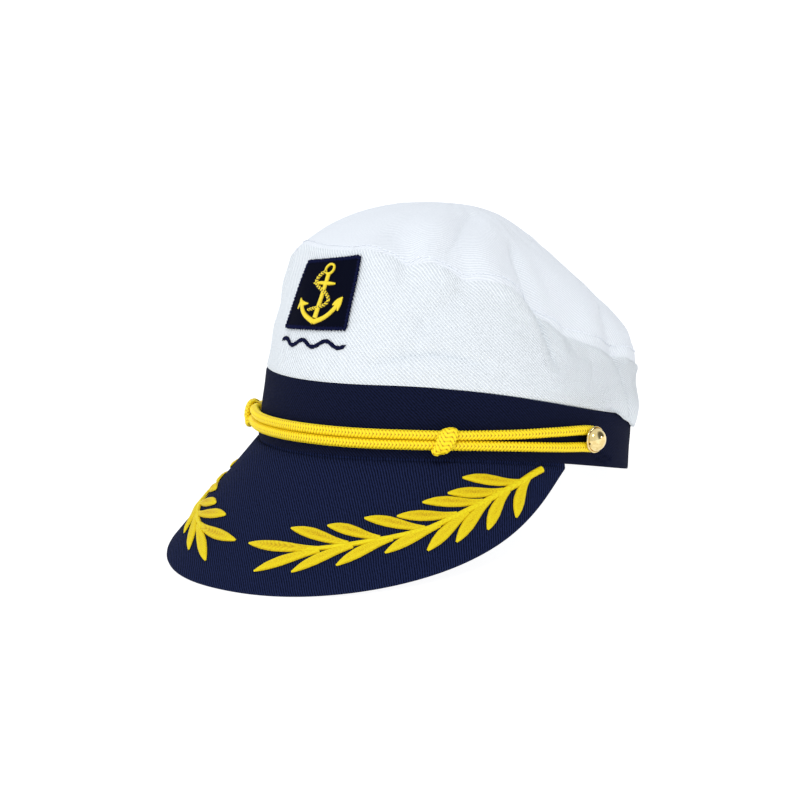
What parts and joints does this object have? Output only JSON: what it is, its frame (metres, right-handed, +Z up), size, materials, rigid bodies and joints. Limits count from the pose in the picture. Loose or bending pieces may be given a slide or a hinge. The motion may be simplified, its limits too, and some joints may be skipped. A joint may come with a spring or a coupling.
{
  "type": "captain hat",
  "caption": "Peaked yacht cap with a soft white crown, navy band and curved visor, gold cord with sliding knots and side buttons, anchor badge and laurel embroidery.",
  "frame": {"origin": "middle of the bounding box's base, on the surface the hat rests on", "axes": "+X to the wearer's left, -Y to the front where the visor is, +Z up; the band is tipped back as the hat rests on its visor and the back of its rim"},
  "size_m": [0.1992, 0.258, 0.1539],
  "materials": {
    "white_cloth": "matte twill weave",
    "navy_cloth": "matte twill weave",
    "gold_braid": "satin braided cord",
    "gold_thread": "satin stitch",
    "navy_thread": "satin stitch",
    "brass_button": "polished dome"
  },
  "bodies": {
    "root": {"band": "navy_cloth", "crown_side": "white_cloth", "crown_top": "white_cloth", "visor": "navy_cloth", "gold_cord": "gold_braid", "cord_knot_left": "gold_braid", "cord_knot_right": "gold_braid", "button_left": "brass_button", "button_right": "brass_button", "badge_patch": "navy_thread", "badge_anchor": "gold_thread", "crown_wave": "navy_thread", "laurel_left": "gold_thread", "laurel_right": "gold_thread"}
  },
  "joints": []
}
